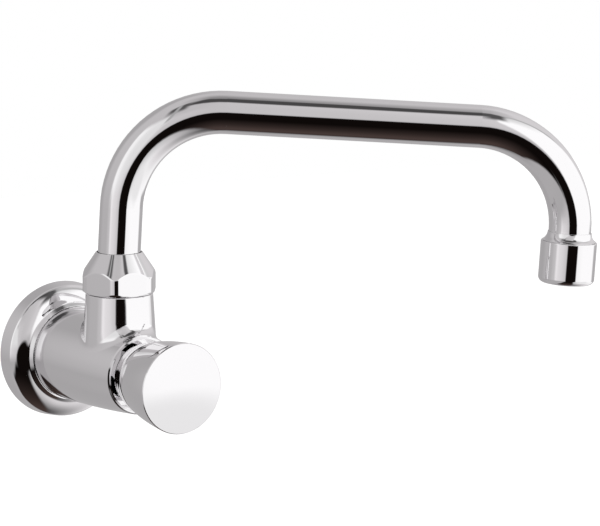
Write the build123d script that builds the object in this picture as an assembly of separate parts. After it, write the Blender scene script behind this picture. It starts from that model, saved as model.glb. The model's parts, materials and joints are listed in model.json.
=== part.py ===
from build123d import *
from math import cos, radians, sin, sqrt, tan
import os

# A wall-mounted self-closing basin tap with a swivelling tube spout, in millimetres.
# The origin is on the wall, at the centre of the wall rosette's back. +Y goes into the wall,
# -Y comes out of it along the tap's axis, and +Z is up.
# Distances along the tap's axis are counted from the wall, positive out of it.

# Wall rosette
rosette_radius = 30.0
rosette_shoulder_radius = 29.15
rosette_shoulder = 6.8
rosette_shoulder_rounding = 2.2
rosette_crown_radius = 22.2
rosette_crown = 11.3
rosette_dome_bow = 0.55
rosette_lip_radius = 20.75
rosette_lip = 12.6
rosette_lip_fillet = 1.6
rosette_bore_radius = 20.5
rosette_thickness = 1.3

# Inlet tail, with a half-inch pipe thread behind the wall plane
tail_thread_radius = 10.48
tail_thread_length = 14.0
tail_relief_radius = 9.2
tail_relief_length = 2.0
tail_shoulder = 1.5
tail_shank_radius = 10.4
tail_chamfer = 1.0
inlet_bore_radius = 6.5
strainer_seat_radius = 8.2
strainer_seat_depth = 3.0
strainer_rim_thickness = 1.4
strainer_clearance = 0.7
strainer_wall = 1.0
strainer_length = 9.0
strainer_slot_width = 1.6
strainer_slot_length = 6.0
strainer_slot_count = 8

# Barrel, from its back end to the rim round the button
barrel_back = 11.4
barrel_length = 58.3
barrel_back_radius = 20.35
barrel_back_rounding = 1.8
barrel_front_radius = 16.6
barrel_bow = 0.66
barrel_rim_chamfer = 0.4
button_mouth_radius = 15.3
button_mouth_depth = 7.2

# Neck and its swivel bore
neck_setback = 18.8
neck_top = 32.3
neck_top_radius = 14.2
neck_waist = 21.0
neck_waist_radius = 14.9
neck_root_fillet = 6.0
neck_edge_rounding = 0.5
neck_thread_radius = 11.0
neck_thread_length = 10.6
neck_thread_chamfer = 1.0
swivel_bore_radius = 8.6
swivel_bore_depth = 19.0
neck_passage_radius = 5.5

# Union nut
nut_across_flats = 29.4
nut_height = 17.1
nut_gap = 0.3
nut_corner_azimuth = -7.3
nut_corner_rounding = 4.5
nut_arch_rounding = 1.2
nut_top_wall = 0.45
nut_cone_height = 10.7
nut_foot_radius = 14.5
nut_foot_height = 1.8
nut_tube_clearance = 0.4

# Bores in the barrel that take the cartridge, with their depths behind the barrel's front
cage_bore_radius = 11.5
cage_bore_depth = 46.7
chamber_radius = 13.5
chamber_depth = 34.7
cartridge_thread_radius = 14.0
cartridge_thread_depth = 12.3

# Valve cage, the rear half of the cartridge
cage_nose_gap = 0.6
cage_nose_bore_radius = 8.4
cage_flange_radius = 12.6
cage_flange_thickness = 1.5
cage_wall_radius = 11.2
cage_front_bore_radius = 9.5
valve_seat_radius = 5.0
valve_seat_depth = 35.5
valve_seat_thickness = 2.0
window_count = 6
window_width = 5.0
window_length = 5.0
window_margin = 0.8

# Timing cylinder, the front half of the cartridge
cylinder_bore_radius = 8.0
cylinder_radius = 10.0
cylinder_collar_thickness = 2.0
cylinder_floor_thickness = 3.0
cylinder_flange_gap = 0.3
cylinder_groove_setback = 0.6
cylinder_head_wall = 3.5
cylinder_head_flats = 19.6
cylinder_head_length = 6.0
gland_plug_length = 3.6
gland_flange_radius = 9.3
gland_flange_thickness = 2.4
gland_rounding = 0.5
gland_spanner_hole_radius = 0.9
gland_spanner_hole_depth = 1.6
gland_spanner_spacing = 13.0

# Seals and fits
groove_depth = 1.5
groove_width = 2.1
fit_gap = 0.05
seal_gap = 0.1

# How far a cutting piece runs past the face that it opens
cut_margin = 1.0

# Stem set, which moves with the button
button_travel = 5.5
stem_radius = 3.0
stem_rear_radius = 2.6
stem_button_depth = 12.0
stem_rounding = 0.6
piston_length = 5.0
piston_clearance = 0.4
piston_flange_radius = 7.6
piston_flange_thickness = 2.0
piston_hub_radius = 5.0
piston_pilot_radius = 4.6
piston_pilot_length = 1.4
cup_lip_width = 0.9
cup_hollow_depth = 1.4
washer_radius = 6.4
washer_thickness = 2.35
holder_base_thickness = 1.4
holder_rim_width = 0.7
holder_rim_height = 1.4
screw_head_radius = 3.0
screw_head_height = 1.8
screw_head_rounding = 0.6
screw_slot_width = 0.8
screw_slot_depth = 0.8
screw_shank_radius = 1.5
screw_hole_depth = 8.0
screw_tip_gap = 1.0
spring_radius = 5.6
spring_wire_radius = 0.55
spring_turns = 6.0

# Push button, with its lengths counted from its rear end
button_rear_inset = 0.3
button_rear_radius = 13.3
button_middle_length = 16.6
button_middle_radius = 17.2
button_length = 31.2
button_front_radius = 18.8
button_edge_bevel = 0.3
button_dome = 1.2
button_wall = 1.6
button_front_wall = 1.9
button_face_thickness = 3.4
button_boss_radius = 5.6
button_boss_inset = 9.6

# Spout tube, a rigid U that leans a little in its swivel
tube_radius = 9.0
tube_wall = 1.0
spout_azimuth = -32.0
spout_lean = 2.9
lean_height = 49.3
lean_bend_radius = 60.0
spout_height = 110.6
spout_reach = 189.6
spout_bend_radius = 41.7

# Ferrule at the foot of the spout
ferrule_collar_radius = 10.4
ferrule_collar_height = 2.2
ferrule_nose_length = 16.0
ferrule_nose_rounding = 0.8
ferrule_bore_radius = 6.2
ferrule_spigot_length = 1.6
ferrule_first_groove = 3.0
ferrule_groove_spacing = 5.5
glide_ring_thickness = 0.8

# Outlet fitting and aerator, measured down the outlet from the corner of the spout's centre line
flare_start = 42.6
flare_end = 46.3
flare_width = 2.5
flare_lip = 0.3
flare_hollow = 0.6
outlet_socket_depth = 6.0
outlet_wall = 1.9
outlet_thread_length = 7.2
aerator_groove = 0.2
aerator_wall = 1.0
aerator_height = 18.0
aerator_top_rounding = 0.4
aerator_rounding = 2.4
aerator_lip_width = 1.0
aerator_lip_height = 1.6
aerator_cavity_wall = 1.7
aerator_washer_thickness = 1.6
insert_rim_height = 1.2
insert_wall = 1.0
insert_floor = 1.2
insert_hole_radius = 1.0
insert_hole_pitch = 3.0
insert_hole_rows = 2
screen_ledge = 3.6
screen_ledge_width = 0.8
screen_thickness = 0.5
screen_hole_radius = 0.6
screen_hole_pitch = 2.6
screen_hole_rows = 3
regulator_height = 2.4
regulator_slot_count = 6
regulator_slot_width = 1.6
regulator_slot_length = 3.6
regulator_slot_middle = 5.6

# Heights and distances that follow from the sizes above
tail_end = -(tail_relief_length + tail_thread_length)
barrel_front = barrel_back + barrel_length
neck_distance = barrel_front - neck_setback
mouth_floor = barrel_front - button_mouth_depth
cage_bore_start = barrel_front - cage_bore_depth
chamber_start = barrel_front - chamber_depth
cartridge_thread_start = barrel_front - cartridge_thread_depth
valve_seat_rear = barrel_front - valve_seat_depth
button_rear = barrel_front - button_rear_inset
button_middle = button_rear + button_middle_length
button_front = button_rear + button_length
button_boss_rear = button_rear + button_boss_inset
nut_mouth_radius = tube_radius + nut_tube_clearance
nut_top_radius = nut_mouth_radius + nut_top_wall
nut_foot = neck_top + nut_gap
nut_top = nut_foot + nut_height
nut_corner_radius = nut_across_flats / sqrt(3)
neck_thread_top = neck_top + neck_thread_length
collar_foot = neck_thread_top + glide_ring_thickness
collar_top = collar_foot + ferrule_collar_height
seat_front = valve_seat_rear + valve_seat_thickness
window_start = seat_front + window_margin
cage_front = window_start + window_length + window_margin + cylinder_floor_thickness
cylinder_front = mouth_floor + cylinder_head_length
piston_front = cylinder_front - gland_plug_length - piston_clearance
piston_rear = piston_front - piston_length
cylinder_groove = cartridge_thread_start + cylinder_flange_gap + cylinder_groove_setback
flare_radius = tube_radius + flare_width
outlet_thread_radius = tube_radius + outlet_wall
outlet_thread_end = flare_end + outlet_thread_length
aerator_radius = outlet_thread_radius + aerator_wall
aerator_cavity_radius = aerator_radius - aerator_cavity_wall
aerator_lip_radius = aerator_cavity_radius - aerator_lip_width
aerator_top = flare_end + aerator_groove
aerator_foot = aerator_top + aerator_height
insert_top = outlet_thread_end + aerator_washer_thickness
insert_foot = aerator_foot - aerator_lip_height
screen_seat = insert_top + screen_ledge

# The three axes that pieces are turned about. Each one's Z runs the way its distances are counted.
tap_axis = Plane(origin=(0, 0, 0), x_dir=(1, 0, 0), z_dir=(0, -1, 0))
swivel_axis = Plane(origin=(0, -neck_distance, 0), x_dir=(1, 0, 0), z_dir=(0, 0, 1))
spout_out = Vector(cos(radians(spout_azimuth)), sin(radians(spout_azimuth)), 0)
spout_plane = Plane(
    origin=(0, -neck_distance, 0), x_dir=spout_out, z_dir=spout_out.cross(Vector(0, 0, 1))
)
lean = radians(spout_lean)
riser_length = spout_height - lean_height
first_corner = Vector(riser_length * sin(lean), lean_height + riser_length * cos(lean))
second_corner = first_corner + Vector(cos(lean), -sin(lean)) * spout_reach
outlet_down = Vector(-sin(lean), -cos(lean))
outlet_axis = Plane(
    origin=spout_plane.from_local_coords(second_corner),
    x_dir=spout_plane.z_dir,
    z_dir=spout_out * outlet_down.X + Vector(0, 0, 1) * outlet_down.Y,
)


def outline(stations):
    """A closed outline through corners and arcs in order, with straight lines between them."""
    ends = [(s, s) if isinstance(s, tuple) else (s @ 0, s @ 1) for s in stations]
    edges = [s for s in stations if not isinstance(s, tuple)]
    for here, after in zip(ends, ends[1:] + ends[:1]):
        if (Vector(after[0]) - Vector(here[1])).length > 1e-6:
            edges.append(Line(here[1], after[0]))
    return make_face(edges)


def turned(axis, *stations, rounds=()):
    """Turn an outline of (radius, distance) stations about an axis, after rounding its corners."""
    section = outline(stations)
    for corner, radius in rounds:
        nearest = section.vertices().sort_by_distance((*corner, 0))[0]
        section = fillet(nearest, radius)
    return axis * revolve(Plane.XZ * section, Axis.Z)


def ring(axis, inner, outer, start, end):
    """A plain washer or, with an inner radius of 0, a disc."""
    return turned(axis, (inner, start), (outer, start), (outer, end), (inner, end))


def disc(axis, radius, start, end):
    return ring(axis, 0, radius, start, end)


def bowed(start, end, rise):
    """An arc between two points that stands off its chord by rise, to the left of its direction."""
    a = Vector(start)
    b = Vector(end)
    across = Vector(-(b - a).Y, (b - a).X).normalized()
    middle = (a + b) * 0.5 + across * rise
    return ThreePointArc(a, middle, b)


def groove(axis, outer, distance):
    """The square groove that an O-ring lies in, cut into a round piece of the given radius."""
    return ring(axis, outer - groove_depth, outer + cut_margin, distance, distance + groove_width)


def o_ring(axis, shaft, bore, distance):
    """An O-ring in a groove of a shaft, just clear of the groove's floor and of the bore."""
    floor = shaft - groove_depth
    section = (bore - floor) / 2 - seal_gap
    middle = Location((0, 0, distance + groove_width / 2))
    return axis * (middle * Torus((bore + floor) / 2, section))


def round_pattern(pitch, hole_radius, rows, start, end):
    """Round holes in a hexagonal grid of so many rows round the middle one."""
    holes = disc(Plane.XY, hole_radius, start, end)
    for row in range(1, rows + 1):
        for place in PolarLocations(row * pitch, 6 * row):
            holes += place * disc(Plane.XY, hole_radius, start, end)
    return holes


def wall_rosette():
    """The cover plate on the wall: a domed dish, open behind, with a lip that stands round the barrel."""
    shoulder = (rosette_shoulder_radius, rosette_shoulder)
    crown = (rosette_crown_radius, rosette_crown)
    inside_shoulder = (rosette_shoulder_radius - rosette_thickness, rosette_shoulder - rosette_thickness)
    inside_crown = (rosette_crown_radius, rosette_crown - rosette_thickness)
    return turned(
        tap_axis,
        (rosette_radius - rosette_thickness, 0),
        (rosette_radius, 0),
        bowed(shoulder, crown, -rosette_dome_bow),
        (rosette_lip_radius, rosette_lip),
        (rosette_bore_radius, rosette_lip),
        (rosette_bore_radius, barrel_back),
        (tail_shank_radius + seal_gap, barrel_back),
        (tail_shank_radius + seal_gap, barrel_back - rosette_thickness),
        bowed(inside_crown, inside_shoulder, rosette_dome_bow),
        rounds=[(shoulder, rosette_shoulder_rounding), (crown, rosette_lip_fillet)],
    )


def barrel_blank(front):
    """The barrel's outside, from its back end to a distance past its front."""
    halfway = (barrel_back + barrel_front) / 2
    halfway_radius = (barrel_back_radius + barrel_front_radius) / 2 + barrel_bow
    side = ThreePointArc(
        (barrel_back_radius, barrel_back), (halfway_radius, halfway), (barrel_front_radius, barrel_front)
    )
    forward = side % 1
    narrowing = (front - barrel_front) * forward.X / forward.Y
    return turned(
        tap_axis,
        (0, barrel_back),
        side,
        (barrel_front_radius + narrowing, front),
        (0, front),
        rounds=[((barrel_back_radius, barrel_back), barrel_back_rounding)],
    )


def inlet_tail():
    """The inlet tail: a shank through the rosette, a relief at the wall and the pipe thread."""
    return turned(
        tap_axis,
        (0, tail_end),
        (tail_thread_radius - tail_chamfer, tail_end),
        (tail_thread_radius, tail_end + tail_chamfer),
        (tail_thread_radius, -tail_relief_length),
        (tail_relief_radius, -tail_relief_length),
        (tail_relief_radius, tail_shoulder),
        (tail_shank_radius, tail_shoulder),
        (tail_shank_radius, barrel_back + cut_margin),
        (0, barrel_back + cut_margin),
    )


def neck_blank():
    """The upright neck, which widens a little downwards, with the union nut's thread on top."""
    flare = (neck_waist_radius - neck_top_radius) / (neck_top - neck_waist)
    return turned(
        swivel_axis,
        (0, 0),
        (neck_waist_radius + neck_waist * flare, 0),
        (neck_top_radius, neck_top),
        (neck_thread_radius, neck_top),
        (neck_thread_radius, neck_thread_top - neck_thread_chamfer),
        (neck_thread_radius - neck_thread_chamfer, neck_thread_top),
        (0, neck_thread_top),
        rounds=[((neck_top_radius, neck_top), neck_edge_rounding)],
    )


def body_bores():
    """Everything that is bored out of the body: the inlet, the cartridge's seats and the neck."""
    along_tap = turned(
        tap_axis,
        (0, tail_end),
        (strainer_seat_radius, tail_end),
        (strainer_seat_radius, tail_end + strainer_seat_depth),
        (inlet_bore_radius, tail_end + strainer_seat_depth),
        (inlet_bore_radius, cage_bore_start),
        (cage_bore_radius, cage_bore_start),
        (cage_bore_radius, chamber_start),
        (chamber_radius, chamber_start),
        (chamber_radius, cartridge_thread_start),
        (cartridge_thread_radius + fit_gap, cartridge_thread_start),
        (cartridge_thread_radius + fit_gap, mouth_floor),
        (button_mouth_radius, mouth_floor),
        (button_mouth_radius, barrel_front),
        (0, barrel_front),
    )
    down_neck = turned(
        swivel_axis,
        (0, 0),
        (neck_passage_radius, 0),
        (neck_passage_radius, neck_thread_top - swivel_bore_depth),
        (swivel_bore_radius, neck_thread_top - swivel_bore_depth),
        (swivel_bore_radius, neck_thread_top),
        (0, neck_thread_top),
    )
    return along_tap + down_neck


def valve_body():
    """The cast body: barrel, tail and neck in one piece, with a fillet where the neck stands.

    The fillet reaches past the barrel's front, so the barrel is made too long and cut to length after.
    """
    past_front = barrel_front + 2 * neck_root_fillet
    blank = barrel_blank(past_front) + neck_blank()
    root = [edge for edge in blank.edges() if edge.geom_type == GeomType.BSPLINE]
    blank = fillet(root, neck_root_fillet)
    blank -= disc(tap_axis, 2 * barrel_back_radius, barrel_front, past_front + cut_margin)
    rim = blank.edges().group_by(Axis.Y)[0]
    return chamfer(rim, barrel_rim_chamfer) + inlet_tail() - body_bores()


def union_nut():
    """A hexagon nut with rounded corners and a long turned cone that narrows to the spout tube."""
    turned_form = turned(
        swivel_axis,
        (neck_thread_radius + fit_gap, nut_foot),
        (nut_foot_radius, nut_foot),
        (nut_corner_radius, nut_foot + nut_foot_height),
        (nut_corner_radius, nut_top - nut_cone_height),
        (nut_top_radius, nut_top),
        (nut_mouth_radius, nut_top),
        (nut_mouth_radius, collar_top + seal_gap),
        (neck_thread_radius + fit_gap, collar_top + seal_gap),
    )
    hexagon = RegularPolygon(nut_corner_radius, 6, rotation=nut_corner_azimuth)
    hexagon = fillet(hexagon.vertices(), nut_corner_rounding)
    bar = swivel_axis * (Location((0, 0, nut_foot)) * extrude(hexagon, nut_height))
    nut = turned_form & bar
    above_foot = nut.edges().filter_by(lambda edge: edge.center().Z > nut_foot + nut_foot_height)
    arches = [edge for edge in above_foot if edge.geom_type in (GeomType.HYPERBOLA, GeomType.BSPLINE)]
    return fillet(arches, nut_arch_rounding)


def inlet_strainer():
    """A moulded thimble with slots, held by its rim in the end of the inlet tail."""
    rim_end = tail_end + strainer_seat_depth
    rim_start = rim_end - strainer_rim_thickness
    thimble_radius = inlet_bore_radius - strainer_clearance
    thimble_bore = thimble_radius - strainer_wall
    thimble_end = rim_end + strainer_length
    thimble = turned(
        tap_axis,
        (thimble_bore, rim_start),
        (strainer_seat_radius - seal_gap, rim_start),
        (strainer_seat_radius - seal_gap, rim_end),
        (thimble_radius, rim_end),
        (thimble_radius, thimble_end),
        (0, thimble_end),
        (0, thimble_end - strainer_wall),
        (thimble_bore, thimble_end - strainer_wall),
    )
    slot = Location((0, 0, rim_end + strainer_length / 2)) * Box(
        3 * thimble_radius, strainer_slot_width, strainer_slot_length
    )
    for turn in range(strainer_slot_count // 2):
        thimble -= tap_axis * (Rotation(0, 0, turn * 360 / strainer_slot_count) * slot)
    return thimble


def valve_cage():
    """The cartridge's rear half: a sealed nose, the valve seat and windows to the chamber."""
    nose_start = cage_bore_start + cage_nose_gap
    nose_radius = cage_bore_radius - seal_gap
    cage = turned(
        tap_axis,
        (cage_nose_bore_radius, nose_start),
        (nose_radius, nose_start),
        (nose_radius, chamber_start),
        (cage_flange_radius, chamber_start),
        (cage_flange_radius, chamber_start + cage_flange_thickness),
        (cage_wall_radius, chamber_start + cage_flange_thickness),
        (cage_wall_radius, cage_front),
        (cage_front_bore_radius, cage_front),
        (cage_front_bore_radius, seat_front),
        (valve_seat_radius, seat_front),
        (valve_seat_radius, valve_seat_rear),
        (cage_nose_bore_radius, valve_seat_rear),
    )
    cage -= groove(tap_axis, nose_radius, valve_seat_rear - 2 * groove_width)
    window = Location((0, 0, window_start + window_length / 2)) * Box(
        3 * cage_wall_radius, window_width, window_length
    )
    for turn in range(window_count // 2):
        cage -= tap_axis * (Rotation(0, 0, turn * 360 / window_count) * window)
    return cage


def timing_cylinder():
    """The cartridge's front half: the timing chamber, screwed into the barrel's mouth."""
    flange_start = cartridge_thread_start + cylinder_flange_gap
    spigot_radius = cage_front_bore_radius - fit_gap
    floor_rear = cage_front - cylinder_floor_thickness
    cylinder = turned(
        tap_axis,
        (stem_rear_radius + fit_gap, floor_rear),
        (spigot_radius, floor_rear),
        (spigot_radius, cage_front),
        (cage_wall_radius, cage_front),
        (cage_wall_radius, cage_front + cylinder_collar_thickness),
        (cylinder_radius, cage_front + cylinder_collar_thickness),
        (cylinder_radius, flange_start),
        (cartridge_thread_radius, flange_start),
        (cartridge_thread_radius, mouth_floor),
        (cylinder_bore_radius + cylinder_head_wall, mouth_floor),
        (cylinder_bore_radius + cylinder_head_wall, cylinder_front),
        (cylinder_bore_radius, cylinder_front),
        (cylinder_bore_radius, cage_front),
        (stem_rear_radius + fit_gap, cage_front),
    )
    cylinder -= groove(tap_axis, cartridge_thread_radius, cylinder_groove)
    head_blank = disc(tap_axis, cartridge_thread_radius, mouth_floor, cylinder_front)
    flats = RegularPolygon(cylinder_head_flats / sqrt(3), 6)
    head = tap_axis * (Location((0, 0, mouth_floor)) * extrude(flats, cylinder_head_length))
    return cylinder - (head_blank - head)


def gland_nut():
    """The cap that closes the timing chamber and guides the stem."""
    stem_hole = stem_radius + fit_gap
    gland = turned(
        tap_axis,
        (stem_hole, cylinder_front - gland_plug_length),
        (cylinder_bore_radius - fit_gap, cylinder_front - gland_plug_length),
        (cylinder_bore_radius - fit_gap, cylinder_front),
        (gland_flange_radius, cylinder_front),
        (gland_flange_radius, cylinder_front + gland_flange_thickness),
        (stem_hole, cylinder_front + gland_flange_thickness),
        rounds=[((gland_flange_radius, cylinder_front + gland_flange_thickness), gland_rounding)],
    )
    seal_start = cylinder_front - gland_plug_length / 2 - groove_width / 2
    gland -= ring(tap_axis, 0, stem_radius + groove_depth, seal_start, seal_start + groove_width)
    hole = disc(
        Plane.XY,
        gland_spanner_hole_radius,
        cylinder_front + gland_flange_thickness - gland_spanner_hole_depth,
        cylinder_front + gland_flange_thickness + cut_margin,
    )
    for side in (-1, 1):
        gland -= tap_axis * (Location((side * gland_spanner_spacing / 2, 0, 0)) * hole)
    return gland


def stem_seal():
    """The O-ring in the gland, round the stem."""
    seal_start = cylinder_front - gland_plug_length / 2
    section = groove_depth / 2 - seal_gap
    middle = Location((0, 0, seal_start))
    return tap_axis * (middle * Torus(stem_radius + groove_depth / 2, section))


def cage_seal():
    nose_radius = cage_bore_radius - seal_gap
    return o_ring(tap_axis, nose_radius, cage_bore_radius, valve_seat_rear - 2 * groove_width)


def cylinder_seal():
    bore = cartridge_thread_radius + fit_gap
    return o_ring(tap_axis, cartridge_thread_radius, bore, cylinder_groove)


def valve_stem():
    """The rod from the button to the valve, with a shoulder that pushes the piston."""
    stem_end = button_boss_rear + stem_button_depth
    start = valve_seat_rear - seal_gap
    stem = turned(
        tap_axis,
        (0, start),
        (stem_rear_radius, start),
        (stem_rear_radius, piston_front),
        (stem_radius, piston_front),
        (stem_radius, stem_end),
        (0, stem_end),
        rounds=[((stem_radius, stem_end), stem_rounding)],
    )
    return stem - disc(tap_axis, screw_shank_radius + fit_gap, start, start + screw_hole_depth)


def timing_piston():
    """The piston of the timing chamber, with a hub for its cup seal and a pilot for the spring."""
    bore = stem_rear_radius + fit_gap
    flange_end = piston_rear + piston_flange_thickness
    return turned(
        tap_axis,
        (bore, piston_rear - piston_pilot_length),
        (piston_pilot_radius, piston_rear - piston_pilot_length),
        (piston_pilot_radius, piston_rear),
        (piston_flange_radius, piston_rear),
        (piston_flange_radius, flange_end),
        (piston_hub_radius, flange_end),
        (piston_hub_radius, piston_front),
        (bore, piston_front),
    )


def piston_cup():
    """The cup seal on the piston's hub, with its lip towards the timing chamber."""
    start = piston_rear + piston_flange_thickness
    outer = cylinder_bore_radius - seal_gap
    inner = piston_hub_radius + fit_gap
    hollow = piston_front - cup_hollow_depth
    return turned(
        tap_axis,
        (inner, start),
        (outer, start),
        (outer, piston_front),
        (outer - cup_lip_width, piston_front),
        (outer - cup_lip_width, hollow),
        (inner, hollow),
    )


def valve_washer():
    """The rubber washer that closes on the seat."""
    front = valve_seat_rear - seal_gap
    return ring(tap_axis, screw_shank_radius + fit_gap, washer_radius, front - washer_thickness, front)


def washer_holder():
    """The brass cup that the rubber washer lies in."""
    floor = valve_seat_rear - seal_gap - washer_thickness
    inner = washer_radius + fit_gap
    outer = inner + holder_rim_width
    hole = screw_shank_radius + fit_gap
    return turned(
        tap_axis,
        (hole, floor - holder_base_thickness),
        (outer, floor - holder_base_thickness),
        (outer, floor + holder_rim_height),
        (inner, floor + holder_rim_height),
        (inner, floor),
        (hole, floor),
    )


def washer_screw():
    """The slotted screw that holds the washer and its cup to the stem."""
    head_front = valve_seat_rear - seal_gap - washer_thickness - holder_base_thickness
    head_rear = head_front - screw_head_height
    tip = valve_seat_rear - seal_gap + screw_hole_depth - screw_tip_gap
    screw = turned(
        tap_axis,
        (0, head_rear),
        (screw_head_radius, head_rear),
        (screw_head_radius, head_front),
        (screw_shank_radius, head_front),
        (screw_shank_radius, tip),
        (0, tip),
        rounds=[((screw_head_radius, head_rear), screw_head_rounding)],
    )
    slot = Box(3 * screw_head_radius, screw_slot_width, 2 * screw_slot_depth)
    return screw - tap_axis * (Location((0, 0, head_rear)) * slot)


def return_spring():
    """The coil spring between the timing chamber's floor and the piston, with ground ends."""
    length = piston_rear - cage_front
    pitch = length / spring_turns
    path = Helix(pitch=pitch, height=length, radius=spring_radius)
    wire = Plane(origin=path @ 0, z_dir=path % 0) * Circle(spring_wire_radius)
    coil = sweep(wire, path=path)
    ground = ring(Plane.XY, 0, 2 * spring_radius, fit_gap, length - fit_gap)
    return tap_axis * (Location((0, 0, cage_front)) * (coil & ground))


def push_button():
    """The button: a hollow cap that flares towards its domed face, with a boss for the stem."""
    side = ThreePointArc(
        (button_rear_radius, button_rear),
        (button_middle_radius, button_middle),
        (button_front_radius, button_front),
    )
    bevel_radius = button_front_radius - button_edge_bevel
    bevel_end = button_front + button_edge_bevel
    top = bevel_end + button_dome
    dome_radius = (bevel_radius**2 + button_dome**2) / (2 * button_dome)
    halfway = top - dome_radius + sqrt(dome_radius**2 - (bevel_radius / 2) ** 2)
    dome_arc = ThreePointArc((bevel_radius, bevel_end), (bevel_radius / 2, halfway), (0, top))
    face_rear = button_front - button_face_thickness
    hollow = ThreePointArc(
        (button_front_radius - button_front_wall, face_rear),
        (button_middle_radius - button_wall, button_middle),
        (button_rear_radius - button_wall, button_rear),
    )
    cap = turned(
        tap_axis,
        side,
        dome_arc,
        (0, button_boss_rear),
        (button_boss_radius, button_boss_rear),
        (button_boss_radius, face_rear),
        hollow,
    )
    stem_end = button_boss_rear + stem_button_depth
    return cap - disc(tap_axis, stem_radius + fit_gap, button_boss_rear, stem_end)


def spout_path():
    """The tube's centre line: up from the ferrule, a slight lean, then two round bends."""
    foot = spout_plane.from_local_coords(Vector(0, collar_top))
    knee = spout_plane.from_local_coords(Vector(0, lean_height))
    first = spout_plane.from_local_coords(first_corner)
    second = spout_plane.from_local_coords(second_corner)
    end = second + outlet_axis.z_dir * (flare_start + outlet_socket_depth)
    return FilletPolyline(
        foot, knee, first, second, end, radius=[lean_bend_radius, spout_bend_radius, spout_bend_radius]
    )


def spout_tube():
    """The bent tube, open from end to end."""
    path = spout_path()
    foot = Plane(origin=path @ 0, z_dir=path % 0)
    outside = sweep(foot * Circle(tube_radius), path=path)
    inside = sweep(foot * Circle(tube_radius - tube_wall), path=path)
    return outside - inside


def spout_ferrule():
    """The turned foot of the spout: a collar under the nut, and a nose that swivels in the neck."""
    nose_radius = swivel_bore_radius - fit_gap
    spigot_radius = tube_radius - tube_wall - fit_gap
    nose_end = collar_foot - ferrule_nose_length
    ferrule = turned(
        swivel_axis,
        (ferrule_bore_radius, nose_end),
        (nose_radius, nose_end),
        (nose_radius, collar_foot),
        (ferrule_collar_radius, collar_foot),
        (ferrule_collar_radius, collar_top),
        (spigot_radius, collar_top),
        (spigot_radius, collar_top + ferrule_spigot_length),
        (ferrule_bore_radius, collar_top + ferrule_spigot_length),
        rounds=[((nose_radius, nose_end), ferrule_nose_rounding)],
    )
    for place in ferrule_grooves():
        ferrule -= groove(swivel_axis, nose_radius, place)
    return ferrule


def ferrule_grooves():
    first = collar_foot - ferrule_nose_length + ferrule_first_groove
    return [first, first + ferrule_groove_spacing]


def ferrule_seals():
    """The two O-rings that seal the spout in the neck."""
    nose_radius = swivel_bore_radius - fit_gap
    rings = [o_ring(swivel_axis, nose_radius, swivel_bore_radius, z) for z in ferrule_grooves()]
    return Compound(children=rings)


def glide_ring():
    """The slippery ring that the spout's collar turns on."""
    return ring(
        swivel_axis, swivel_bore_radius + seal_gap, ferrule_collar_radius, neck_thread_top, collar_foot
    )


def outlet_fitting():
    """The flared end of the spout, with the outside thread that the aerator screws on to."""
    socket_radius = tube_radius + fit_gap
    socket_end = flare_start + outlet_socket_depth
    flare = bowed((flare_radius, flare_end), (tube_radius + flare_lip, flare_start), -flare_hollow)
    return turned(
        outlet_axis,
        (socket_radius, flare_start),
        (socket_radius, socket_end),
        (tube_radius - tube_wall, socket_end),
        (tube_radius - tube_wall, outlet_thread_end),
        (outlet_thread_radius, outlet_thread_end),
        (outlet_thread_radius, flare_end),
        flare,
    )


def aerator_housing():
    """The ring that screws on to the outlet and holds the aerator's insert."""
    thread_bore = outlet_thread_radius + fit_gap
    ledge = insert_top + insert_rim_height
    return turned(
        outlet_axis,
        (thread_bore, aerator_top),
        (aerator_radius, aerator_top),
        (aerator_radius, aerator_foot),
        (aerator_lip_radius, aerator_foot),
        (aerator_lip_radius, insert_foot),
        (aerator_cavity_radius, insert_foot),
        (aerator_cavity_radius, ledge),
        (thread_bore, ledge),
        rounds=[
            ((aerator_radius, aerator_top), aerator_top_rounding),
            ((aerator_radius, aerator_foot), aerator_rounding),
        ],
    )


def aerator_washer():
    inner = tube_radius - tube_wall + seal_gap
    return ring(outlet_axis, inner, outlet_thread_radius - seal_gap, outlet_thread_end, insert_top)


def aerator_insert():
    """The moulded cup at the mouth, with a grid of round holes and a ledge for the screen."""
    outer = aerator_cavity_radius - seal_gap
    bore = outer - insert_wall
    cup = turned(
        outlet_axis,
        (0, insert_foot),
        (outer, insert_foot),
        (outer, insert_top + insert_rim_height),
        (outlet_thread_radius - seal_gap, insert_top + insert_rim_height),
        (outlet_thread_radius - seal_gap, insert_top),
        (bore, insert_top),
        (bore, screen_seat),
        (bore - screen_ledge_width, screen_seat),
        (bore - screen_ledge_width, insert_foot - insert_floor),
        (0, insert_foot - insert_floor),
    )
    holes = round_pattern(
        insert_hole_pitch,
        insert_hole_radius,
        insert_hole_rows,
        insert_foot - insert_floor - cut_margin,
        insert_foot + cut_margin,
    )
    return cup - outlet_axis * holes


def aerator_screen():
    """The perforated disc that breaks the water up."""
    rim = aerator_cavity_radius - 2 * seal_gap - insert_wall
    blank = disc(outlet_axis, rim, screen_seat - screen_thickness, screen_seat)
    holes = round_pattern(
        screen_hole_pitch,
        screen_hole_radius,
        screen_hole_rows,
        screen_seat - screen_thickness - cut_margin,
        screen_seat + cut_margin,
    )
    return blank - outlet_axis * holes


def flow_regulator():
    """The slotted disc above the screen that keeps the flow steady."""
    rim = aerator_cavity_radius - 2 * seal_gap - insert_wall
    end = screen_seat - screen_thickness
    body = turned(
        outlet_axis,
        (0, end - regulator_height / 2),
        (rim / 2, end - regulator_height),
        (rim, end - regulator_height),
        (rim, end),
        (0, end),
    )
    slot = Location((regulator_slot_middle, 0, end)) * Box(
        regulator_slot_length, regulator_slot_width, 3 * regulator_height
    )
    for place in PolarLocations(0, regulator_slot_count):
        body -= outlet_axis * (place * slot)
    return body


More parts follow.
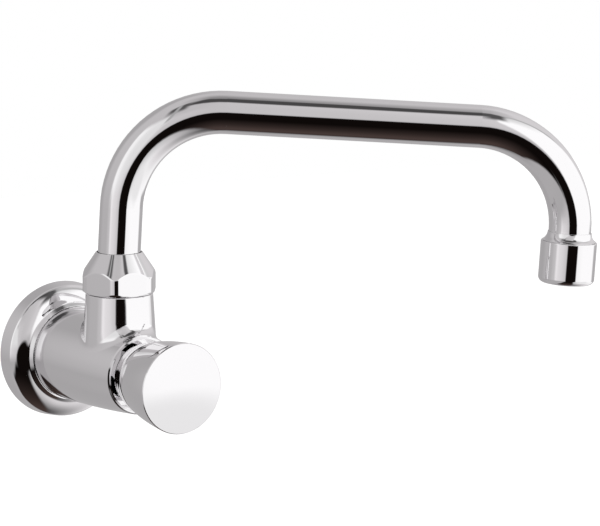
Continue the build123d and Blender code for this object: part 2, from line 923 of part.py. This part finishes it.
pieces = [
    wall_rosette,
    valve_body,
    union_nut,
    inlet_strainer,
    valve_cage,
    cage_seal,
    timing_cylinder,
    cylinder_seal,
    gland_nut,
    stem_seal,
    return_spring,
    glide_ring,
    push_button,
    valve_stem,
    timing_piston,
    piston_cup,
    valve_washer,
    washer_holder,
    washer_screw,
    spout_tube,
    spout_ferrule,
    ferrule_seals,
    outlet_fitting,
    aerator_housing,
    aerator_washer,
    aerator_insert,
    aerator_screen,
    flow_regulator,
]

os.makedirs("parts", exist_ok=True)
for piece in pieces:
    export_step(piece(), f"parts/{piece.__name__}.step")
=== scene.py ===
import json
from math import atan2, cos, hypot, pi, radians, sin

import bmesh
import bpy
from mathutils import Matrix, Vector


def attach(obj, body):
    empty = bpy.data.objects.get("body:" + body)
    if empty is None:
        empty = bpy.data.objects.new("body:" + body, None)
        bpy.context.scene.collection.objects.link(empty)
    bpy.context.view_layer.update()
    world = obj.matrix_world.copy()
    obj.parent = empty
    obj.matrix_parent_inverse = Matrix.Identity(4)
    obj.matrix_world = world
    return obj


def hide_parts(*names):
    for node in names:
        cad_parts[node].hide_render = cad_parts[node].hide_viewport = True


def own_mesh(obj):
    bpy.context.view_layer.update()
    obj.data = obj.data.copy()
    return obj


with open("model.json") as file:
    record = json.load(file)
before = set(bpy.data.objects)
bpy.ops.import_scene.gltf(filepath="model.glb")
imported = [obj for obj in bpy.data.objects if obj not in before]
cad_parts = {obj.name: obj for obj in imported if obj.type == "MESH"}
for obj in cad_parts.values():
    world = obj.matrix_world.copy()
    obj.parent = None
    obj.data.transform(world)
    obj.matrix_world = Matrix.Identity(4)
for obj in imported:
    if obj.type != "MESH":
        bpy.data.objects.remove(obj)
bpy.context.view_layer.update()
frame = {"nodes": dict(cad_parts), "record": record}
scene = bpy.context.scene
scene.view_settings.view_transform = "Standard"

# A pinhole camera fitted to the photograph. Angles are in degrees, lens and sensor in millimetres, and the
# distance, target, pan and lift in metres.
CAMERA_AZIMUTH = 35.07
CAMERA_ELEVATION = 9.03
CAMERA_ROLL = 0.53
CAMERA_LENS = 132.0
CAMERA_SENSOR = 36
CAMERA_DISTANCE = 0.93591
CAMERA_TARGET = (0, -0.045, 0)
CAMERA_PAN = 0.0793
CAMERA_LIFT = 0.04424

# The floor, as far below the tap as under a basin, in metres, and how pale it is in light and of itself
FLOOR_DROP = 0.95
FLOOR_SIZE = 14.0
FLOOR_GREY = 0.62
FLOOR_GLOW = 0.72

# Half-inch pipe thread on the inlet tail, 14 turns to the inch, in metres
THREAD_CREST = 0.01048
THREAD_START = 0.002
THREAD_END = 0.015
THREAD_PITCH = 0.0254 / 14
THREAD_DEPTH = 0.001162
THREAD_RUN_OUT = 0.0014
THREAD_ROWS_PER_TURN = 16

# The tail's plain crest is known by points this close to it and faces longer than this along it, in metres
CREST_SLACK = 0.00001
CREST_FACE_LENGTH = 0.001

# Past this angle either way, in radians, a point round the tail is the one where the circle closes
SEAM_ANGLE = 3.14

# How far the dome's pole reaches on the button's face, in metres
POLE_REACH = 0.0001

# The middle span of a noise pattern, from which a finish takes its darkest to its lightest
NOISE_LOW = 0.3
NOISE_HIGH = 0.7

CHROME = (0.82, 0.81, 0.82)
BRASS = (0.78, 0.6, 0.3)
STEEL = (0.62, 0.62, 0.61)
RUBBER = (0.03, 0.03, 0.03)
WHITE_PLASTIC = (0.88, 0.88, 0.85)
GREY_PLASTIC = (0.5, 0.51, 0.53)

# How a plated piece was made, where it wasn't turned
MADE_BY = {"valve_body": "cast", "spout_tube": "tube"}


class Shade:
    """Short calls for the arithmetic of one node tree. Sockets and plain numbers mix freely."""

    def __init__(self, tree):
        self.tree = tree

    def feed(self, socket, value):
        if isinstance(value, bpy.types.NodeSocket):
            self.tree.links.new(value, socket)
        else:
            socket.default_value = value

    def node(self, kind, **settings):
        node = self.tree.nodes.new(kind)
        for name, value in settings.items():
            setattr(node, name, value)
        return node

    def math(self, operation, a, b=0.0):
        node = self.node("ShaderNodeMath", operation=operation)
        self.feed(node.inputs[0], a)
        self.feed(node.inputs[1], b)
        return node.outputs[0]

    def rise(self, value, low, high):
        """0 below low, 1 above high, smooth between; the other way round where low is the greater."""
        if low > high:
            return self.math("SUBTRACT", 1.0, self.rise(value, high, low))
        node = self.node("ShaderNodeMapRange", interpolation_type="SMOOTHSTEP")
        self.feed(node.inputs["Value"], value)
        node.inputs["From Min"].default_value = low
        node.inputs["From Max"].default_value = high
        return node.outputs["Result"]

    def product(self, *weights):
        result = weights[0]
        for weight in weights[1:]:
            result = self.math("MULTIPLY", result, weight)
        return result

    def ramp(self, value, low, high, stops):
        """A colour ramp over value from low to high, with stops of (value, grey or colour)."""
        where = self.node("ShaderNodeMapRange")
        self.feed(where.inputs["Value"], value)
        where.inputs["From Min"].default_value = low
        where.inputs["From Max"].default_value = high
        ramp = self.node("ShaderNodeValToRGB")
        self.tree.links.new(where.outputs["Result"], ramp.inputs["Fac"])
        elements = ramp.color_ramp.elements
        while len(elements) < len(stops):
            elements.new(0.5)
        for element, (at, colour) in zip(elements, stops):
            element.position = (at - low) / (high - low)
            element.color = rgba(colour)
        return ramp.outputs["Color"]

    def over(self, under, weight, colour):
        """Colour laid over what is there, by weight."""
        mix = self.node("ShaderNodeMix", data_type="RGBA")
        self.feed(mix.inputs["Factor"], weight)
        self.feed(mix.inputs["A"], under)
        self.feed(mix.inputs["B"], colour if isinstance(colour, bpy.types.NodeSocket) else rgba(colour))
        return mix.outputs["Result"]


def rgba(colour):
    if isinstance(colour, (int, float)):
        colour = (colour, colour, colour)
    return (*colour, 1.0)


def mauve(level):
    """A grey of this level with the faintest tint of red and blue."""
    return (level * 1.015, level * 0.992, level * 1.003)


def brown(level):
    return (level * 1.3, level * 0.9, level * 0.8)


def make_camera():
    azimuth, elevation, roll = map(radians, (CAMERA_AZIMUTH, CAMERA_ELEVATION, CAMERA_ROLL))
    back = Vector((-sin(azimuth) * cos(elevation), -cos(azimuth) * cos(elevation), sin(elevation)))
    right = Vector((cos(azimuth), -sin(azimuth), 0))
    up = back.cross(right)
    target = Vector(CAMERA_TARGET) + right * CAMERA_PAN + up * CAMERA_LIFT
    rolled_right = right * cos(roll) + up * sin(roll)
    rolled_up = up * cos(roll) - right * sin(roll)
    data = bpy.data.cameras.new("camera")
    data.sensor_width = CAMERA_SENSOR
    data.lens = CAMERA_LENS
    camera = bpy.data.objects.new("camera", data)
    scene.collection.objects.link(camera)
    axes = Matrix((rolled_right, rolled_up, back)).transposed().to_4x4()
    camera.matrix_world = Matrix.Translation(target + back * CAMERA_DISTANCE) @ axes
    scene.camera = camera


class Studio(Shade):
    """A plain studio, given as the light that comes from each direction.

    Azimuth is 0 straight out of the wall and grows to the right, and elevation is 0 at the horizon, both in
    degrees. The camera stands at -35, 9. Chrome shows a level of 1.2 as about white. Ramps have stops of
    (degrees, level). Each method that takes the light lays something over it, and they go from far to near.
    """

    # Planes through the tap, by their normals' parts to the right, out of the wall and up. Each holds a
    # straight edge of a soft box or of the mat, which lies on the side that the normal points to.
    LEFT_POST = (-2.005, -1.882, -1.0)
    RIGHT_POST = (3.094, 1.41, -1.0)
    FAR_POST = (0.29, 2.34, -1.0)
    MAT_LEFT = (1.2, 1.12, -0.7)
    MAT_RIGHT = (-0.98, -0.31, -0.16)
    MAT_BACK = (0.0, 1.0, -0.22)

    def __init__(self, tree):
        super().__init__(tree)
        split = self.node("ShaderNodeSeparateXYZ")
        tree.links.new(self.node("ShaderNodeTexCoord").outputs["Generated"], split.inputs[0])
        self.x, y, self.z = split.outputs
        self.out = self.math("MULTIPLY", y, -1.0)
        self.azimuth = self.math("DEGREES", self.math("ARCTAN2", self.x, self.out))
        self.elevation = self.math("DEGREES", self.math("ARCSINE", self.z))

    def between(self, value, low, high, soft):
        over_low = self.rise(value, low - soft, low + soft)
        under_high = self.rise(value, high + soft, high - soft)
        return self.product(over_low, under_high)

    def panel(self, left, right, foot, top, soft_sides, soft_ends):
        """A patch between two azimuths and two elevations, with soft edges."""
        return self.product(
            self.between(self.azimuth, left, right, soft_sides),
            self.between(self.elevation, foot, top, soft_ends),
        )

    def across(self, x, out, z):
        """How far a direction is past the plane with this normal."""
        length = (x * x + out * out + z * z) ** 0.5
        products = [self.math("MULTIPLY", *pair) for pair in
                    ((self.x, x / length), (self.out, out / length), (self.z, z / length))]
        return self.math("ADD", self.math("ADD", products[0], products[1]), products[2])

    def past(self, plane, soft):
        return self.rise(self.across(*plane), -soft, soft)

    def edge(self, plane, width, soft):
        """A straight line along a plane's edge."""
        return self.rise(self.math("ABSOLUTE", self.across(*plane)), width + soft, width)

    def spot(self, azimuth, elevation, half_width, half_height, soft):
        """An ellipse in azimuth and elevation."""
        wide = self.math("DIVIDE", self.math("SUBTRACT", self.azimuth, azimuth), half_width)
        high = self.math("DIVIDE", self.math("SUBTRACT", self.elevation, elevation), half_height)
        reach = self.math("ADD", self.math("POWER", wide, 2.0), self.math("POWER", high, 2.0))
        return self.rise(reach, 1 + soft, 1 - soft)

    def by_elevation(self, *stops):
        return self.ramp(self.elevation, -90, 90, stops)

    def by_azimuth(self, *stops):
        return self.ramp(self.azimuth, -180, 180, stops)

    def walls(self):
        """Grey walls, ceiling and far floor, a little darker behind the tap."""
        light = self.by_elevation(
            (-85, mauve(0.058)), (-75, mauve(0.18)), (-66, mauve(0.4)), (-56, mauve(0.47)),
            (-35, mauve(0.48)), (-15, mauve(0.46)), (-5, mauve(0.52)), (10, mauve(0.57)),
            (30, mauve(0.6)), (66, mauve(0.61)), (76, mauve(0.49)), (85, mauve(0.32)),
        )
        behind = self.rise(self.math("ABSOLUTE", self.azimuth), 138, 168)
        upright = self.between(self.elevation, -45, 48, soft=8)
        return self.over(light, self.product(behind, upright), mauve(0.44))

    def right_side(self, light):
        """Wall and floor on the right, beyond the large soft box."""
        right = self.between(self.azimuth, 30, 124, soft=20)
        wall = self.product(right, self.between(self.elevation, -4, 62, soft=5))
        light = self.over(light, wall, mauve(0.76))
        floor = self.by_elevation(
            (-88, mauve(0.09)), (-77, mauve(0.15)), (-65, mauve(0.33)), (-50, mauve(0.55)),
            (-30, mauve(0.74)), (-20, mauve(0.66)), (-12, mauve(0.5)), (-6, mauve(0.6)),
        )
        return self.over(light, self.product(right, self.rise(self.elevation, -2, -8)), floor)

    def middle_wall(self, light):
        """Wall between the soft boxes, brighter towards the large one."""
        area = self.product(
            self.rise(self.azimuth, -62, -40),
            self.rise(self.azimuth, 50, 20),
            self.between(self.elevation, 8, 60, soft=5),
        )
        level = self.by_azimuth((-45, mauve(0.6)), (-26, mauve(0.65)), (-17, mauve(0.72)))
        return self.over(light, area, level)

    def small_box(self, light):
        """Small soft box on the left, and its glow on the wall and the floor."""
        glow = self.by_azimuth(
            (-180, mauve(0.5)), (-108, mauve(0.58)), (-94, mauve(0.62)), (-86, mauve(0.98)),
            (-77, mauve(0.88)), (-62, mauve(0.82)), (-46, mauve(0.67)),
        )
        light = self.over(light, self.panel(-106, -38, -12, 30, soft_sides=6, soft_ends=8), glow)
        sheet = self.by_azimuth((-92, 1.1), (-84, 1.06), (-74, 0.93), (-62, 0.88))
        front = self.panel(-98, 0, 1, 41, soft_sides=5, soft_ends=6)
        return self.over(light, self.product(self.past(self.LEFT_POST, soft=0.05), front), sheet)

    def large_box(self, light):
        """Large soft box on the right, which fades towards the mat and on the floor."""
        sheet = self.by_elevation(
            (-88, mauve(0.09)), (-77, mauve(0.15)), (-65, mauve(0.4)), (-55, mauve(0.65)),
            (-45, mauve(0.86)), (-35, 1.04), (-25, 1.13), (-15, 1.18), (44, 1.2), (55, 0.9),
            (66, 0.8), (76, 0.62), (86, 0.25),
        )
        fade = self.product(self.rise(self.azimuth, 26, -16), self.rise(self.elevation, -6, -18), 0.42)
        sheet = self.over(sheet, fade, 0.0)
        box = self.product(
            self.past(self.RIGHT_POST, soft=0.02),
            self.past(self.FAR_POST, soft=0.07),
            self.rise(self.azimuth, -14, -8),
        )
        return self.over(light, box, sheet)

    def box_folds(self, light):
        """A grey skirt under the large box, a soft fold low in it, and a faint line up its far edge."""
        light = self.over(light, self.panel(86, 126, -19, -8, soft_sides=6, soft_ends=3), mauve(0.48))
        light = self.over(light, self.product(self.spot(30, -24, 27, 10, soft=0.7), 0.8), 0.93)
        line = self.product(
            self.edge(self.FAR_POST, width=0.01, soft=0.08),
            self.rise(self.elevation, 22, 40),
            self.rise(self.azimuth, 20, 50),
        )
        return self.over(light, line, 0.52)

    def overhead(self, light):
        """Dark gap overhead, the posts that hold the boxes, and a thin line up the small box's edge."""
        light = self.over(light, self.panel(-89, 29, 61, 83, soft_sides=19, soft_ends=4), mauve(0.072))
        high = self.rise(self.elevation, 40, 56)
        left = self.between(self.azimuth, -100, -40, soft=10)
        right = self.between(self.azimuth, -30, 30, soft=10)
        left_post = self.product(self.edge(self.LEFT_POST, width=0.06, soft=0.09), high, left)
        light = self.over(light, left_post, mauve(0.11))
        right_post = self.product(self.edge(self.RIGHT_POST, width=0.04, soft=0.09), high, right)
        light = self.over(light, right_post, mauve(0.1))
        left_line = self.edge(self.LEFT_POST, width=0.008, soft=0.03)
        return self.over(light, self.product(left_line, self.rise(self.elevation, 20, 32), left), 0.45)

    def mat_and_camera(self, light):
        """Brown mat under the camera, and the black camera on its stand."""
        mat = self.by_elevation(
            (-88, brown(0.057)), (-78, brown(0.046)), (-66, brown(0.031)), (-55, brown(0.021)),
            (-44, brown(0.013)), (-34, brown(0.006)), (-26, brown(0.003)),
        )
        area = self.product(
            self.past(self.MAT_LEFT, soft=0.05),
            self.past(self.MAT_RIGHT, soft=0.06),
            self.past(self.MAT_BACK, soft=0.05),
            self.rise(self.elevation, -10, -24),
        )
        light = self.over(light, area, mat)
        black = brown(0.004)
        light = self.over(light, self.spot(-28, -13, 18, 17.5, soft=0.25), black)
        return self.over(light, self.spot(-15, -12, 12.5, 10, soft=0.3), black)

    def light(self):
        light = self.walls()
        light = self.right_side(light)
        light = self.middle_wall(light)
        light = self.small_box(light)
        light = self.large_box(light)
        light = self.box_folds(light)
        light = self.overhead(light)
        return self.mat_and_camera(light)


def make_world():
    """The camera sees white. Metal and everything else see the studio."""
    world = bpy.data.worlds.new("studio")
    world.use_nodes = True
    scene.world = world
    tree = world.node_tree
    shade = Studio(tree)
    seen = shade.node("ShaderNodeLightPath").outputs["Is Camera Ray"]
    light = shade.over(shade.light(), seen, 1.0)
    tree.links.new(light, tree.nodes["Background"].inputs["Color"])
    tree.nodes["Background"].inputs["Strength"].default_value = 1.0


def pale_floor():
    """Plain and pale. What it gives off itself to the camera brings it up to white, but for a shadow."""
    material = bpy.data.materials.new("pale_floor")
    material.use_nodes = True
    shade = Shade(material.node_tree)
    shader = material.node_tree.nodes["Principled BSDF"]
    shader.inputs["Base Color"].default_value = rgba(FLOOR_GREY)
    shader.inputs["Roughness"].default_value = 0.9
    shader.inputs["Emission Color"].default_value = rgba(1.0)
    seen = shade.node("ShaderNodeLightPath").outputs["Is Camera Ray"]
    shade.feed(shader.inputs["Emission Strength"], shade.math("MULTIPLY", seen, FLOOR_GLOW))
    return material


def make_floor():
    """A floor far below the tap, which takes its shadow. The metal mirrors the studio's own floor instead."""
    mesh = bpy.data.meshes.new("floor")
    work = bmesh.new()
    bmesh.ops.create_grid(work, x_segments=8, y_segments=8, size=FLOOR_SIZE / 2)
    work.to_mesh(mesh)
    work.free()
    floor = bpy.data.objects.new("floor", mesh)
    scene.collection.objects.link(floor)
    floor.location.z = -FLOOR_DROP
    floor.visible_glossy = False
    mesh.materials.append(pale_floor())


class Finish(Shade):
    """One material. Sizes are in millimetres, and patterns stay with the piece when it moves."""

    def __init__(self, name, colour, roughness, metallic=0.0):
        self.material = bpy.data.materials.new(name)
        self.material.use_nodes = True
        super().__init__(self.material.node_tree)
        self.shader = self.tree.nodes["Principled BSDF"]
        self.shader.inputs["Base Color"].default_value = rgba(colour)
        self.shader.inputs["Roughness"].default_value = roughness
        self.shader.inputs["Metallic"].default_value = metallic
        self.place = self.node("ShaderNodeTexCoord").outputs["Object"]

    def noise(self, size, detail, stretch=(1, 1, 1)):
        """Patches about this many millimetres across, drawn out along an axis by stretch."""
        mapping = self.node("ShaderNodeMapping")
        self.tree.links.new(self.place, mapping.inputs["Vector"])
        mapping.inputs["Scale"].default_value = [1000 / size / s for s in stretch]
        noise = self.node("ShaderNodeTexNoise")
        self.tree.links.new(mapping.outputs["Vector"], noise.inputs["Vector"])
        noise.inputs["Scale"].default_value = 1.0
        noise.inputs["Detail"].default_value = detail
        return noise.outputs["Fac"]

    def colour(self, value, dark, light):
        stops = [(NOISE_LOW, dark), (NOISE_HIGH, light)]
        self.feed(self.shader.inputs["Base Color"], self.ramp(value, 0, 1, stops))

    def rough(self, value, low, high):
        spread = self.node("ShaderNodeMapRange")
        self.feed(spread.inputs["Value"], value)
        spread.inputs["From Min"].default_value = NOISE_LOW
        spread.inputs["From Max"].default_value = NOISE_HIGH
        spread.inputs["To Min"].default_value = low
        spread.inputs["To Max"].default_value = high
        self.feed(self.shader.inputs["Roughness"], spread.outputs["Result"])

    def relief(self, height, depth):
        """Bump from a height of 0 to 1, where 1 stands this many millimetres proud."""
        bump = self.node("ShaderNodeBump")
        self.feed(bump.inputs["Height"], height)
        bump.inputs["Distance"].default_value = depth / 1000
        self.feed(self.shader.inputs["Normal"], bump.outputs["Normal"])


def chrome(name, wave_size, wave_depth, haze):
    """Polished chrome plate: long low waves that polishing leaves, and a faint haze of wiping in patches."""
    finish = Finish(name, CHROME, roughness=haze, metallic=1.0)
    finish.rough(finish.noise(9, detail=3), low=haze * 0.6, high=haze * 1.4)
    finish.relief(finish.noise(wave_size, detail=1), depth=wave_depth)
    return finish.material


def machined_brass():
    """Bare brass with fine turning lines round the axis of the barrel."""
    finish = Finish("machined_brass", BRASS, roughness=0.3, metallic=1.0)
    lines = finish.noise(0.35, detail=2, stretch=(40, 1, 40))
    finish.colour(finish.noise(6, detail=3), dark=(0.72, 0.53, 0.25), light=(0.82, 0.65, 0.35))
    finish.rough(lines, low=0.2, high=0.36)
    finish.relief(lines, depth=0.01)
    return finish.material


def moulded(name, colour):
    """Moulded plastic with an even spark-eroded grain."""
    finish = Finish(name, colour, roughness=0.5)
    clouds = finish.noise(5, detail=2)
    finish.colour(clouds, dark=[c * 0.96 for c in colour], light=[c * 1.03 for c in colour])
    grain = finish.noise(0.3, detail=3)
    finish.rough(grain, low=0.42, high=0.58)
    finish.relief(grain, depth=0.012)
    return finish.material


def stainless_steel():
    """Satin stainless steel, with streaks left by drawing and rolling."""
    finish = Finish("stainless_steel", STEEL, roughness=0.32, metallic=1.0)
    streaks = finish.noise(0.25, detail=3, stretch=(12, 1, 1))
    finish.colour(streaks, dark=(0.58, 0.58, 0.57), light=(0.66, 0.66, 0.65))
    finish.rough(streaks, low=0.25, high=0.42)
    finish.relief(streaks, depth=0.004)
    return finish.material


def black_rubber():
    """Matt rubber with the bloom and the fine skin of a moulded seal."""
    finish = Finish("black_rubber", RUBBER, roughness=0.8)
    finish.colour(finish.noise(3, detail=3), dark=(0.024, 0.024, 0.025), light=(0.045, 0.044, 0.043))
    skin = finish.noise(0.2, detail=2)
    finish.rough(skin, low=0.7, high=0.9)
    finish.relief(skin, depth=0.01)
    return finish.material


def material_of(node, slot, plates, others):
    """Chrome differs with how the piece was made, and every other slot has one finish. The timing cylinder's
    flange shows behind the button, and is plated too."""
    if slot == "chrome_plate" or node == "timing_cylinder":
        return plates[MADE_BY.get(node, "turned")]
    return others[slot]


def thread_radius(along, angle):
    """The thread is close to a wave round a helix. It runs out into the plain crest at both ends."""
    turn = 2 * pi * along / THREAD_PITCH - angle
    ends = min(along - THREAD_START, THREAD_END - along) / THREAD_RUN_OUT
    cut = min(1.0, max(0.0, ends))
    return THREAD_CREST - THREAD_DEPTH * cut * (0.5 - 0.5 * cos(turn))


def on_crest(vertex):
    """Whether a point is on the plain crest of the inlet tail, where the thread goes."""
    x, y, z = vertex.co
    inside = THREAD_START - CREST_SLACK < y < THREAD_END + CREST_SLACK
    return inside and abs(hypot(x, z) - THREAD_CREST) < 2 * CREST_SLACK


def is_crest_face(face):
    ends = [vertex.co.y for vertex in face.verts]
    return all(map(on_crest, face.verts)) and max(ends) - min(ends) > CREST_FACE_LENGTH


def turn_of(vertex):
    """A point's angle round the tail's axis. Where the circle closes it is -pi and never pi."""
    angle = round(atan2(vertex.co.z, vertex.co.x), 4)
    return -abs(angle) if abs(angle) > SEAM_ANGLE else angle


def cut_thread(mesh):
    """Takes the plain crest off the inlet tail and puts the threaded skin there, on the same rim points."""
    work = bmesh.new()
    work.from_mesh(mesh)
    crest = [face for face in work.faces if is_crest_face(face)]
    angles = sorted({turn_of(vertex) for face in crest for vertex in face.verts})
    bmesh.ops.delete(work, geom=crest, context="FACES")
    rows = round((THREAD_END - THREAD_START) / THREAD_PITCH * THREAD_ROWS_PER_TURN)
    grid = []
    for row in range(rows + 1):
        along = THREAD_START + (THREAD_END - THREAD_START) * row / rows
        radii = [thread_radius(along, angle) for angle in angles]
        grid.append([work.verts.new((r * cos(a), along, r * sin(a))) for r, a in zip(radii, angles)])
    for low, high in zip(grid, grid[1:]):
        for column in range(len(angles)):
            face = work.faces.new((low[column - 1], high[column - 1], high[column], low[column]))
            face.smooth = True
    work.normal_update()
    loose = [vertex for vertex in work.verts if not vertex.link_faces]
    bmesh.ops.delete(work, geom=loose, context="VERTS")
    work.to_mesh(mesh)
    work.free()


def stand_in(name, node, body, material):
    """A piece that starts as a copy of a node's mesh and stands for it."""
    mesh = frame["nodes"][node].data.copy()
    mesh.name = name
    mesh.materials.clear()
    mesh.materials.append(material)
    piece = bpy.data.objects.new(name, mesh)
    scene.collection.objects.link(piece)
    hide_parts(node)
    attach(piece, body)
    return piece


def polish_face(mesh):
    """Joins the points at the pole of the button's dome, and points the shading there straight out."""
    front = min(vertex.co.y for vertex in mesh.vertices)

    def at_pole(vertex):
        return hypot(vertex.co.x, vertex.co.z) < POLE_REACH and vertex.co.y < front + POLE_REACH

    work = bmesh.new()
    work.from_mesh(mesh)
    bmesh.ops.remove_doubles(work, verts=[v for v in work.verts if at_pole(v)], dist=2 * POLE_REACH)
    work.to_mesh(mesh)
    work.free()
    normals = [tuple(corner.vector) for corner in mesh.corner_normals]
    for loop in mesh.loops:
        if at_pole(mesh.vertices[loop.vertex_index]):
            normals[loop.index] = (0.0, -1.0, 0.0)
    mesh.normals_split_custom_set(normals)


def make_spring(material):
    """The return spring, standing in for its node on the tap body, with a mesh of its own."""
    spring = stand_in("coil_spring", "return_spring", "tap_body", material)
    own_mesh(spring)


def dress():
    """A finish for every piece, and the three stand-ins."""
    plates = {
        "cast": chrome("cast_chrome", wave_size=14, wave_depth=0.012, haze=0.035),
        "turned": chrome("turned_chrome", wave_size=18, wave_depth=0.004, haze=0.03),
        "tube": chrome("tube_chrome", wave_size=16, wave_depth=0.004, haze=0.03),
    }
    others = {
        "bare_brass": machined_brass(),
        "white_plastic": moulded("white_plastic", WHITE_PLASTIC),
        "grey_plastic": moulded("grey_plastic", GREY_PLASTIC),
        "stainless_steel": stainless_steel(),
        "black_rubber": black_rubber(),
    }
    for part in frame["record"]["subparts"]:
        materials = frame["nodes"][part["node"]].data.materials
        materials.clear()
        materials.append(material_of(part["node"], part["material_slot"], plates, others))
    cast, turned = plates["cast"], plates["turned"]
    cut_thread(stand_in("threaded_valve_body", "valve_body", "tap_body", cast).data)
    polish_face(stand_in("polished_button", "push_button", "button", turned).data)
    make_spring(others["stainless_steel"])


make_camera()
make_world()
make_floor()
dress()
